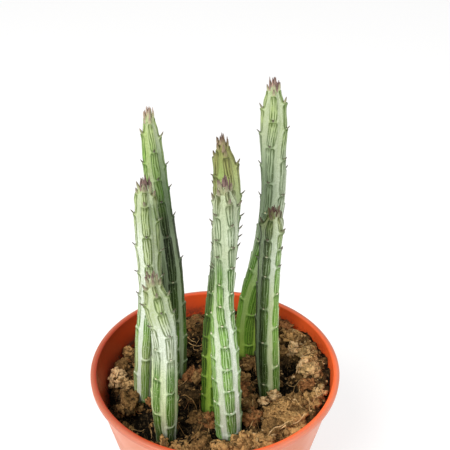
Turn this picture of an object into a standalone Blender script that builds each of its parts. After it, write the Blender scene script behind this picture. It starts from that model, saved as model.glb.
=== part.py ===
"""A stem succulent in a thin plastic grower pot: the pot, its soil and seven ribbed stems.

Lengths are in millimetres up to the moment a mesh is written. The origin is the middle of the
pot's base, on the surface that it stands on. +Z is up, and the plant is seen from -Y.
"""

import math
import random

import bmesh
import bpy
from mathutils import Matrix, Vector, noise

MM = 0.001

# Pot
RIM_RADIUS = 50.0
POT_HEIGHT = 76.0
WALL_TAPER = math.radians(12.5)
WALL = 1.1
LIP_OUT = 1.6
LIP_HEIGHT = 2.4
LIP_ROUND = 0.5
LIP_TOP = 0.9
LIP_FILLET = 0.1
FLOOR = 1.5
BASE_ROUND = 1.2
DRAIN_COUNT = 6
DRAIN_RADIUS = 3.5
DRAIN_RING = 18.0
DRAIN_SIDES = 12
POT_SIDES = 48

# Soil
SOIL_LEVEL = 67.0
SOIL_RISE_RIGHT = 0.12
SOIL_RISE_BACK = 0.02
SOIL_RISE_EDGE = 1.2
COARSE_ROUGHNESS = (1.5, 9.0)
FINE_ROUGHNESS = (0.9, 4.0)
CLEARANCE = 0.3
SOIL_RINGS = 10
SOIL_SIDES = 48
CRUMB_COUNT = 30
CRUMB_SINK = 0.25
CRUMB_ROUGHNESS = 0.28
CRUMB_SEED = 11
HOLE_ABOVE = 6
HOLE_SIDES = 14

# Stems
RIBS = 5
SPIRAL = math.radians(144.0)
GROOVE = 0.13
SHOULDER = 0.45
BURIED = 22.0
BURIED_END = ((-BURIED, 2.4), (1.5 - BURIED, 3.9), (-2.0, 3.9))
LEAF_LENGTH = 2.9
LEAF_RADIUS = 0.55
LEAF_SINK = 1.0
LEAF_RISE = math.radians(42.0)
CROWN_LENGTH = 4.2
CROWN_RADIUS = 0.85
CROWN_RISE = math.radians(83.0)
CROWN_DEPTH = 10.0
TIP_HEIGHT = 1.2

# Each stem: heights are above SOIL_LEVEL, and the first one is where the stem meets the soil.
#   line    the middle of the stem: (height, x, y)
#   girth   the radius over the ribs: (height, radius), and the last height is the stem's top
#   turn    the way that the first rib faces: (height, degrees from +X)
#   levels  where the first rib bears its leaves
#   leafy   the height from which the leaves are still there
STEMS = {
    "stem_1": {
        "line": (
            (-2, -16.6, 7.2), (24, -16.4, 8.5), (48, -17.4, 9.7), (74, -20.4, 11.0),
            (91, -22.0, 11.8), (112, -23.5, 12.9),
        ),
        "girth": (
            (-2, 4.4), (10, 4.7), (30, 4.6), (57, 4.4), (83, 4.2), (91, 4.1), (99, 3.7),
            (106, 2.8), (112, 1.8),
        ),
        "turn": ((-2, -89), (30, -86), (62, -72), (98, -75), (112, -76)),
        "levels": (5.5, 17, 28.5, 40, 51.5, 63, 75.5, 87, 98.8, 107.5, 112),
        "leafy": 40,
    },
    "stem_2": {
        "line": (
            (-3.5, -28.9, -3.2), (24, -26.8, -3.2), (48, -24.3, -3.2), (70, -24.2, -3.2),
            (92.5, -24.4, -3.2),
        ),
        "girth": (
            (-3.5, 4.1), (3, 4.3), (24, 4.3), (53, 4.3), (62, 4.4), (74, 4.6), (80, 4.5),
            (87, 3.9), (92.5, 2.4),
        ),
        "turn": ((-3.5, -84), (42, -88), (92.5, -92)),
        "levels": (3.7, 14.7, 26, 37.5, 49, 60.2, 71.3, 82, 89, 92.5),
        "leafy": 38,
    },
    "stem_3": {
        "line": (
            (-2.3, -18.9, -25.8), (15, -18.9, -26.7), (35, -18.1, -27.7), (50, -18.1, -28.4),
            (60, -19.6, -29.0), (72, -21.1, -29.6),
        ),
        "girth": (
            (-2.3, 4.0), (4, 4.6), (14, 4.9), (25, 4.8), (35, 4.5), (48, 4.4), (58, 4.6),
            (63, 4.3), (67, 3.4), (72, 2.2),
        ),
        "turn": ((-2.3, -57), (46, -57), (56, -68), (72, -74)),
        "levels": (3.3, 20.9, 35.5, 46.2, 56.1, 65, 69.5, 72),
        "leafy": 48,
    },
    "stem_4": {
        "line": (
            (0.6, 4.9, -27.2), (21, 4.1, -28.0), (40, 3.3, -28.8), (58, 2.7, -29.5),
            (74, 3.2, -30.1), (92, 3.3, -30.8), (108, 2.8, -31.5),
        ),
        "girth": (
            (0.6, 5.0), (12, 5.1), (30, 5.0), (40, 4.8), (50, 4.3), (61, 3.8), (68, 3.5),
            (78, 3.5), (86, 3.8), (92, 4.0), (97, 3.8), (103, 3.4), (108, 2.2),
        ),
        "turn": ((0.6, -68), (20, -76), (42, -84), (52, -92), (60, -103), (72, -121), (108, -140)),
        "levels": (6.5, 20.3, 30.8, 41.9, 51.6, 60.5, 69.9, 80.2, 88.2, 96.5, 104, 108),
        "leafy": 72,
    },
    "stem_5": {
        "line": (
            (0, -1.1, -14.1), (33, -0.6, -14.1), (51.5, 0.8, -14.1), (69, 2.4, -14.1),
            (87, 3.6, -14.1), (100, 3.6, -14.1), (114, 2.2, -14.1),
        ),
        "girth": (
            (0, 4.5), (33, 4.3), (60, 4.1), (69, 4.1), (77, 4.4), (86, 4.6), (94, 4.7),
            (100, 4.5), (105, 4.0), (110, 3.0), (114, 1.8),
        ),
        "turn": ((0, -79), (54, -70), (114, -73)),
        "levels": (3.9, 13.8, 23.6, 33, 42.6, 52.5, 62.5, 73, 82, 90, 98, 107.3, 114),
        "leafy": 66,
    },
    "stem_6": {
        "line": (
            (1.6, 13.4, 18.2), (16, 14.0, 19.0), (31, 15.7, 19.7), (45, 18.6, 20.4),
            (60, 21.1, 21.2), (75, 22.4, 21.9), (97, 21.8, 23.0), (118, 21.1, 24.1),
        ),
        "girth": (
            (1.6, 4.9), (10, 5.2), (24, 5.2), (38, 4.8), (55, 4.6), (80, 4.7), (92, 4.8),
            (100, 5.0), (106, 5.0), (113, 4.2), (118, 2.1),
        ),
        "turn": ((1.6, -154), (22, -159), (80, -119), (96, -111), (105, -98), (118, -94)),
        "levels": (13.1, 28.5, 41.5, 54.6, 67.6, 80.7, 95.7, 105, 113, 118),
        "leafy": 66,
    },
    "stem_7": {
        "line": (
            (2.6, 21.6, -7.5), (17, 20.6, -7.5), (30, 19.9, -7.5), (51, 19.6, -7.5),
            (71, 19.9, -7.5), (84.5, 20.4, -7.5),
        ),
        "girth": (
            (2.6, 4.2), (9, 4.5), (18, 4.6), (27, 4.5), (40, 4.3), (58, 4.1), (76, 3.9),
            (80.5, 3.6), (84.5, 2.3),
        ),
        "turn": ((2.6, -120), (40, -115), (84.5, -114)),
        "levels": (8, 26.8, 43.2, 56.9, 65.7, 74, 80.5, 84.5),
        "leafy": 58,
    },
}

# Larger lumps that lie on the soil: x, y, half width, height
LUMPS = (
    (-40.0, 4.5, 4.2, 2.4),
    (-36.0, -9.0, 5.4, 2.4),
    (-38.5, 19.0, 4.2, 1.8),
    (-31.0, 29.0, 4.6, 1.6),
    (30.0, -27.0, 7.5, 2.6),
    (38.0, -16.0, 5.5, 2.2),
    (21.5, -35.0, 5.2, 2.2),
    (37.5, 12.5, 5.6, 2.2),
    (31.0, 27.5, 5.0, 2.2),
    (40.5, -2.0, 4.0, 2.2),
    (14.0, -23.5, 3.6, 1.8),
    (-10.5, 2.0, 3.4, 1.4),
    (-6.0, -33.5, 5.0, 1.6),
    (-8.0, 36.0, 5.6, 1.6),
    (9.0, 3.5, 4.0, 1.4),
)

# Colours, roughness
POT_FINISH = ((0.56, 0.10, 0.035), 0.42)
SOIL_FINISH = ((0.10, 0.045, 0.02), 0.95)
STEM_FINISH = ((0.24, 0.36, 0.12), 0.55)


def clear_scene():
    for obj in list(bpy.data.objects):
        bpy.data.objects.remove(obj, do_unlink=True)


def finish(name, colour, roughness):
    material = bpy.data.materials.new(name)
    material.use_nodes = True
    shader = material.node_tree.nodes["Principled BSDF"]
    shader.inputs["Base Color"].default_value = (*colour, 1.0)
    shader.inputs["Roughness"].default_value = roughness
    shader.inputs["Metallic"].default_value = 0.0
    return material


def new_object(name, bm, material=None):
    """A linked object from a mesh in millimetres, written in metres."""
    bmesh.ops.scale(bm, vec=(MM, MM, MM), verts=bm.verts)
    bmesh.ops.recalc_face_normals(bm, faces=bm.faces)
    mesh = bpy.data.meshes.new(name)
    bm.to_mesh(mesh)
    bm.free()
    obj = bpy.data.objects.new(name, mesh)
    bpy.context.scene.collection.objects.link(obj)
    if material:
        mesh.materials.append(material)
    return obj


def apply_boolean(obj, operation, tools):
    """Join the tools to an object, or cut them from it, in one step, and remove them."""
    group = bpy.data.collections.new(obj.name + "_tools")
    bpy.context.scene.collection.children.link(group)
    for tool in tools:
        bpy.context.scene.collection.objects.unlink(tool)
        group.objects.link(tool)
    step = obj.modifiers.new("join", "BOOLEAN")
    step.operation = operation
    step.operand_type = "COLLECTION"
    step.collection = group
    step.solver = "EXACT"
    evaluated = obj.evaluated_get(bpy.context.evaluated_depsgraph_get())
    joined = bpy.data.meshes.new_from_object(evaluated)
    obj.modifiers.clear()
    obj.data = joined
    for tool in tools:
        bpy.data.objects.remove(tool, do_unlink=True)
    bpy.data.collections.remove(group)


def shade(obj, angle):
    obj.data.shade_smooth()
    obj.data.set_sharp_from_angle(angle=math.radians(angle))


def through(points, at):
    """A smooth curve through rows of (place, value, ...), read at one place; flat past its ends."""
    if at <= points[0][0]:
        return tuple(points[0][1:])
    if at >= points[-1][0]:
        return tuple(points[-1][1:])
    k = max(i for i in range(len(points) - 1) if points[i][0] <= at)

    def slope(i, c):
        low, high = max(i - 1, 0), min(i + 1, len(points) - 1)
        return (points[high][c] - points[low][c]) / (points[high][0] - points[low][0])

    span = points[k + 1][0] - points[k][0]
    t = (at - points[k][0]) / span
    values = []
    for c in range(1, len(points[0])):
        a, b = points[k][c], points[k + 1][c]
        da, db = slope(k, c) * span, slope(k + 1, c) * span
        ease = t * t * (3 - 2 * t)
        values.append(a + (b - a) * ease + da * t * (1 - t) ** 2 - db * t * t * (1 - t))
    return tuple(values)


def wall_radius(z):
    """The outer face of the pot's wall at a height."""
    top = RIM_RADIUS - LIP_OUT
    return top - (POT_HEIGHT - LIP_HEIGHT - z) * math.tan(WALL_TAPER)


def arc(cx, cz, radius, start, end, steps):
    turn = [math.radians(start + (end - start) * i / steps) for i in range(steps + 1)]
    return [(cx + radius * math.cos(a), cz + radius * math.sin(a)) for a in turn]


def make_pot():
    """One moulding: a turned profile from the inside of the floor over the lip to the underside."""
    inner = WALL / math.cos(WALL_TAPER)
    lip_low = POT_HEIGHT - LIP_HEIGHT
    foot = wall_radius(0.0)
    profile = [
        (0.0, FLOOR),
        (wall_radius(FLOOR) - inner - BASE_ROUND, FLOOR),
        (wall_radius(FLOOR + BASE_ROUND) - inner, FLOOR + BASE_ROUND),
        (wall_radius(lip_low) - inner, lip_low),
        *arc(RIM_RADIUS - LIP_ROUND - LIP_TOP, POT_HEIGHT - LIP_ROUND, LIP_ROUND, 150, 90, 2),
        *arc(RIM_RADIUS - LIP_ROUND, POT_HEIGHT - LIP_ROUND, LIP_ROUND, 90, 0, 2),
        (RIM_RADIUS, lip_low + LIP_ROUND),
        (RIM_RADIUS - LIP_ROUND, lip_low),
        (wall_radius(lip_low), lip_low - LIP_FILLET),
        (wall_radius(BASE_ROUND), BASE_ROUND),
        (foot - BASE_ROUND, 0.0),
        (0.0, 0.0),
    ]
    bm = bmesh.new()
    ring = [bm.verts.new((r, 0.0, z)) for r, z in profile]
    for a, b in zip(ring, ring[1:]):
        bm.edges.new((a, b))
    bmesh.ops.spin(
        bm,
        geom=list(bm.verts) + list(bm.edges),
        cent=(0, 0, 0),
        axis=(0, 0, 1),
        angle=math.tau,
        steps=POT_SIDES,
        use_merge=True,
    )
    bmesh.ops.remove_doubles(bm, verts=bm.verts, dist=0.001)
    pot = new_object("pot", bm, finish("terracotta_plastic", *POT_FINISH))
    drains = []
    for i in range(DRAIN_COUNT):
        a = math.tau * (i + 0.5) / DRAIN_COUNT
        x, y = DRAIN_RING * math.cos(a), DRAIN_RING * math.sin(a)
        drains.append(cylinder("drain", x, y, -1, FLOOR + 1, DRAIN_RADIUS, DRAIN_SIDES))
    apply_boolean(pot, "DIFFERENCE", drains)
    shade(pot, 35)
    return pot


def cylinder(name, x, y, low, high, radius, sides):
    bm = bmesh.new()
    place = Matrix.Translation((x, y, (low + high) / 2))
    bmesh.ops.create_cone(
        bm, cap_ends=True, segments=sides, radius1=radius, radius2=radius, depth=high - low, matrix=place
    )
    return new_object(name, bm)


def soil_height(x, y):
    """The loose surface: low at the left, nearly up to the rim at the right, higher by the wall."""
    tilt = SOIL_RISE_RIGHT * x + SOIL_RISE_BACK * y
    edge = SOIL_RISE_EDGE * (math.hypot(x, y) / RIM_RADIUS) ** 3
    coarse, wide = COARSE_ROUGHNESS
    fine, narrow = FINE_ROUGHNESS
    rough = coarse * noise.noise(Vector((x, y, 0.0)) / wide)
    rough += fine * noise.noise(Vector((x, y, 20.0)) / narrow)
    return SOIL_LEVEL + tilt + edge + rough


def filling():
    """The room inside the pot, less the clearance, up to above the rim."""
    inner = WALL / math.cos(WALL_TAPER) + CLEARANCE
    low, high = FLOOR + CLEARANCE, POT_HEIGHT + HOLE_ABOVE
    rows = (
        (wall_radius(low) - inner - BASE_ROUND, low),
        (wall_radius(low + BASE_ROUND) - inner, low + BASE_ROUND),
        (wall_radius(high) - inner, high),
    )
    bm = bmesh.new()
    rings = []
    for r, z in rows:
        spots = [math.tau * k / POT_SIDES for k in range(POT_SIDES)]
        rings.append([bm.verts.new((r * math.cos(a), r * math.sin(a), z)) for a in spots])
    skin(bm, rings)
    bm.faces.new(rings[0])
    bm.faces.new(rings[-1])
    return new_object("filling", bm)


def skin(bm, rings):
    """Quads between closed rings of the same count."""
    for a, b in zip(rings, rings[1:]):
        for k in range(len(a)):
            n = (k + 1) % len(a)
            bm.faces.new((a[k], a[n], b[n], b[k]))


def make_soil():
    """An uneven disc with its lumps joined on, trimmed to the pot, with a hole for each stem."""
    bm = bmesh.new()
    rings = []
    spots = [math.tau * k / SOIL_SIDES for k in range(SOIL_SIDES)]
    for i in range(1, SOIL_RINGS + 1):
        r = (RIM_RADIUS + 1) * i / SOIL_RINGS
        flat = [(r * math.cos(a), r * math.sin(a)) for a in spots]
        rings.append([bm.verts.new((x, y, soil_height(x, y))) for x, y in flat])
    rings.append([bm.verts.new((v.co.x, v.co.y, 0.0)) for v in rings[-1]])
    skin(bm, rings)
    bm.faces.new(rings[-1])
    top = bm.verts.new((0, 0, soil_height(0, 0)))
    for k in range(SOIL_SIDES):
        bm.faces.new((top, rings[0][k], rings[0][(k + 1) % SOIL_SIDES]))
    soil = new_object("soil", bm, finish("potting_soil", *SOIL_FINISH))
    apply_boolean(soil, "UNION", make_crumbs())
    apply_boolean(soil, "INTERSECT", [filling()])
    holes = []
    for name, spec in STEMS.items():
        foot, x, y = spec["line"][0]
        widest = max(through(spec["girth"], foot + up)[0] for up in range(HOLE_ABOVE))
        radius = widest + SHOULDER + 2 * CLEARANCE
        low, high = SOIL_LEVEL + foot - BURIED - CLEARANCE, SOIL_LEVEL + foot + HOLE_ABOVE
        holes.append(cylinder(name + "_hole", x, y, low, high, radius, HOLE_SIDES))
    apply_boolean(soil, "DIFFERENCE", holes)
    shade(soil, 50)
    return soil


def crumb(rng, x, y, wide, high):
    """A rough lump with its lower half in the soil."""
    bm = bmesh.new()
    bmesh.ops.create_icosphere(bm, subdivisions=2 if wide > 4.8 else 1, radius=1.0)
    seed = Vector((rng.uniform(0, 99), rng.uniform(0, 99), rng.uniform(0, 99)))
    for v in bm.verts:
        v.co *= 1.0 + CRUMB_ROUGHNESS * noise.noise(v.co * 1.6 + seed)
    turn = Matrix.Rotation(rng.uniform(0, math.tau), 4, "Z")
    sink = CRUMB_SINK * wide
    stretch = Matrix.Diagonal((wide, wide * rng.uniform(0.65, 0.9), high + sink, 1.0))
    place = Matrix.Translation((x, y, soil_height(x, y) - sink))
    bmesh.ops.transform(bm, matrix=place @ turn @ stretch, verts=bm.verts)
    return new_object("crumb", bm)


def make_crumbs():
    rng = random.Random(CRUMB_SEED)
    crumbs = []
    taken = []
    for x, y, wide, high in LUMPS:
        crumbs.append(crumb(rng, x, y, wide, high))
        taken.append((x, y, wide))
    reach = wall_radius(SOIL_LEVEL) - WALL - 1.0
    while len(taken) < len(LUMPS) + CRUMB_COUNT:
        wide = rng.uniform(1.5, 3.2)
        r = (reach - wide) * math.sqrt(rng.random())
        a = rng.uniform(0, math.tau)
        x, y = r * math.cos(a), r * math.sin(a)
        if any(math.hypot(x - cx, y - cy) < 0.8 * (wide + other) for cx, cy, other in taken):
            continue
        crumbs.append(crumb(rng, x, y, wide, rng.uniform(0.5, 1.3)))
        taken.append((x, y, wide))
    return crumbs


class Stem:
    """One stem's shape: a middle line, and a radius that swells under each leaf of its five ribs."""

    def __init__(self, spec):
        self.spec = spec
        self.foot = spec["line"][0][0]
        self.top = spec["girth"][-1][0]
        self.levels = [(i, level) for i, level in enumerate(spec["levels"])]

    def level(self, n):
        """The height of leaf n on the spiral; every fifth one is on the first rib."""
        first = self.levels[0][1]
        if n < 0:
            return first + n / RIBS * (self.levels[1][1] - first)
        return through(self.levels, n / RIBS)[0]

    def count(self):
        return (len(self.levels) - 1) * RIBS

    def middle(self, h):
        x, y = through(self.spec["line"], h)
        return Vector((x, y, SOIL_LEVEL + h))

    def frame(self, h):
        """The stem's direction at a height, and the two directions across it, nearest to X and Y."""
        along = (self.middle(h + 0.5) - self.middle(h - 0.5)).normalized()
        side = (Vector((1, 0, 0)) - along * along.x).normalized()
        return along, side, along.cross(side)

    def turn(self, h):
        return math.radians(through(self.spec["turn"], h)[0])

    def swell(self, n, rib):
        """How far a rib stands proud at leaf n: most just under its own leaf, least above it."""
        step = (n - 3 * rib) % RIBS
        return SHOULDER * (1.0 if step == 0 else (step / RIBS) ** 2)

    def point(self, h, angle, radius):
        _, side, across = self.frame(h)
        return self.middle(h) + radius * (math.cos(angle) * side + math.sin(angle) * across)

    def ring(self, bm, n):
        """Ten points, one on each rib and one in each groove."""
        h = self.level(n)
        radius = through(self.spec["girth"], h)[0]
        slim = radius / 4.5
        ring = []
        for k in range(2 * RIBS):
            if k % 2:
                r = radius * (1 - GROOVE)
            else:
                r = radius + slim * self.swell(n, k // 2)
            ring.append(bm.verts.new(self.point(h, self.turn(h) + math.pi * k / RIBS, r)))
        return ring

    def body(self):
        """The buried end, tapered at its foot, and above it a ring for each leaf of the spiral."""
        bm = bmesh.new()
        low = -int((self.level(0) - self.foot) * RIBS / (self.levels[1][1] - self.levels[0][1]))
        foot = self.middle(self.foot)
        start = self.turn(self.foot)
        spots = [start + math.pi * k / RIBS for k in range(2 * RIBS)]
        rings = []
        for h, r in BURIED_END:
            corners = [Vector((r * math.cos(a), r * math.sin(a), h)) for a in spots]
            rings.append([bm.verts.new(foot + corner) for corner in corners])
        rings += [self.ring(bm, n) for n in range(low, self.count() + 1)]
        bm.faces.new(reversed(rings[0]))
        skin(bm, rings)
        tip = bm.verts.new(self.middle(self.top) + Vector((0, 0, TIP_HEIGHT)))
        for k in range(2 * RIBS):
            bm.faces.new((rings[-1][k], rings[-1][(k + 1) % (2 * RIBS)], tip))
        return bm

    def leaves(self):
        """Three-sided awls, small and spreading along the stem, larger and upright at its tip."""
        leaves = []
        for n in range(self.count() + 1):
            h = self.level(n)
            if h < self.spec["leafy"]:
                continue
            crown = min(1.0, max(0.0, (h - self.top + CROWN_DEPTH) / CROWN_DEPTH))
            angle = self.turn(h) + SPIRAL * n
            along, _, _ = self.frame(h)
            radius = through(self.spec["girth"], h)[0]
            root = self.point(h, angle, radius)
            out = (root - self.middle(h)).normalized()
            rise = LEAF_RISE + (CROWN_RISE - LEAF_RISE) * crown
            reach = LEAF_LENGTH + (CROWN_LENGTH - LEAF_LENGTH) * crown
            wide = LEAF_RADIUS + (CROWN_RADIUS - LEAF_RADIUS) * crown
            way = math.cos(rise) * out + math.sin(rise) * along
            base = root - way * LEAF_SINK - out * 0.4 * wide
            leaves.append(awl(base, way, reach + LEAF_SINK, wide))
        return leaves


def awl(root, way, length, radius):
    bm = bmesh.new()
    bmesh.ops.create_cone(bm, cap_ends=True, segments=3, radius1=radius, radius2=0.0, depth=length)
    bmesh.ops.remove_doubles(bm, verts=bm.verts, dist=0.0001)
    place = Matrix.Translation(root + way * length / 2) @ way.to_track_quat("Z", "Y").to_matrix().to_4x4()
    bmesh.ops.transform(bm, matrix=place, verts=bm.verts)
    return new_object("awl", bm)


def make_stem(name, spec, material):
    stem = Stem(spec)
    obj = new_object(name, stem.body(), material)
    apply_boolean(obj, "UNION", stem.leaves())
    shade(obj, 40)
    return obj


def main():
    clear_scene()
    make_pot()
    make_soil()
    green = finish("stem_green", *STEM_FINISH)
    for name, spec in STEMS.items():
        make_stem(name, spec, green)


main()
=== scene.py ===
"""A stem succulent in a thin plastic grower pot, dressed for the picture.

Lengths are in millimetres up to the moment a mesh is written. The plant is seen from -Y.
"""

import math
import random

import bmesh
import bpy
import numpy as np
from mathutils import Matrix, Vector, noise
from mathutils.bvhtree import BVHTree


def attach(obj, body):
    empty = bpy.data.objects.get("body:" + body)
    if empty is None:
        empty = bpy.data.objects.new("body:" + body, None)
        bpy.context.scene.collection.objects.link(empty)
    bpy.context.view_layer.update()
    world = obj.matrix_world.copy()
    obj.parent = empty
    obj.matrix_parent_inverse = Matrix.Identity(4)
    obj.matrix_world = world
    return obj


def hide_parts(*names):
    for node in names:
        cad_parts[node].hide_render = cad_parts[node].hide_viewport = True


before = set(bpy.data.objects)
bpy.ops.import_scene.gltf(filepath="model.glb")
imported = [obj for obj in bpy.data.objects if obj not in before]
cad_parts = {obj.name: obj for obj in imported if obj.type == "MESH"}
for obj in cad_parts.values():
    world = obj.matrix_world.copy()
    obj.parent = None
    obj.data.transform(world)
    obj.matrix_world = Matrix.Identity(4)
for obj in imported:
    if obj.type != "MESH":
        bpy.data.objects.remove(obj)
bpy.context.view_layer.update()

MM = 0.001
BODY = "root"

# Pot
RIM_RADIUS = 50.0
POT_HEIGHT = 76.0
WALL_TAPER = math.radians(12.5)
WALL = 1.1
LIP_OUT = 1.6
LIP_HEIGHT = 2.4
FLOOR = 1.5
BASE_ROUND = 1.2
DRAIN_COUNT = 6
DRAIN_RADIUS = 3.5
DRAIN_RING = 18.0
POT_SIDES = 224
DRILL_SIDES = 40

# Soil
SOIL_LEVEL = 67.0
SOIL_RISE_RIGHT = 0.12
SOIL_RISE_BACK = 0.02
SOIL_RISE_EDGE = 1.2
CLEARANCE = 0.3
SOIL_SEED = 5
PIECES = 120
CRUMBS = 3000
COARSE_CRUMBS = 700
ROOTS = 210

# Stems
RIBS = 5
SPIRAL = math.radians(144.0)
BURIED_END = ((-22.0, 2.4), (-20.5, 3.9), (-12.0, 3.9), (-2.0, 3.9))
RIB_COLUMNS = 22
THREAD = 0.86
RING_STEP = 0.4
# How a window ends, above its lower leaf and below its upper one
WINDOW_ROUND = 2.8
WINDOW_FOOT = 3.2
WINDOW_FOOT_ROUND = 3.0
WINDOW_HEAD = 2.0
WINDOW_HEAD_ROUND = 1.85
# Where a face lies on no rib: far from every window
OFF_RIB = 9.0
# Young leaves at the tip, and how many of them stand in the outer ring
CROWN_LEAVES = 11
OUTER_LEAVES = 6
# Share of the way along a leaf, or up a scar, and the width there
LEAF_SIDES = 8
AWL_STATIONS = ((-0.45, 1.5), (0.0, 1.55), (0.12, 1.15), (0.3, 0.95), (0.55, 0.8), (0.8, 0.5), (0.94, 0.26))
SCAR_STATIONS = ((-0.3, 1.0), (0.35, 0.85), (0.8, 0.5))


def linear(r, g, b):
    """A colour given in 0 to 255 as seen, in linear light."""
    out = []
    for v in (r, g, b):
        v /= 255.0
        out.append(v / 12.92 if v <= 0.04045 else ((v + 0.055) / 1.055) ** 2.4)
    return np.array(out)


# Colours of the plant
FROST = linear(218, 226, 211)
MILK = linear(199, 210, 184)
PALE = linear(180, 191, 157)
MIST = linear(155, 172, 137)
CELERY = linear(204, 216, 168)
SLATE = linear(116, 134, 102)
LIME = linear(176, 188, 120)
TENDER = linear(170, 188, 120)
SPRING = linear(146, 170, 98)
LEEK = linear(160, 194, 78)
FRESH = linear(118, 166, 56)
LEAF = linear(86, 130, 34)
MOSS = linear(66, 94, 26)
DEEP = linear(46, 62, 16)
NIGHT = linear(30, 42, 8)
OLIVE = linear(130, 128, 74)
SAND = linear(196, 178, 148)
DUSK = linear(164, 140, 128)
BLUSH = linear(222, 190, 172)
PLUM = linear(110, 86, 82)
BARK = linear(84, 58, 50)
CREAM = linear(216, 208, 168)

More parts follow.
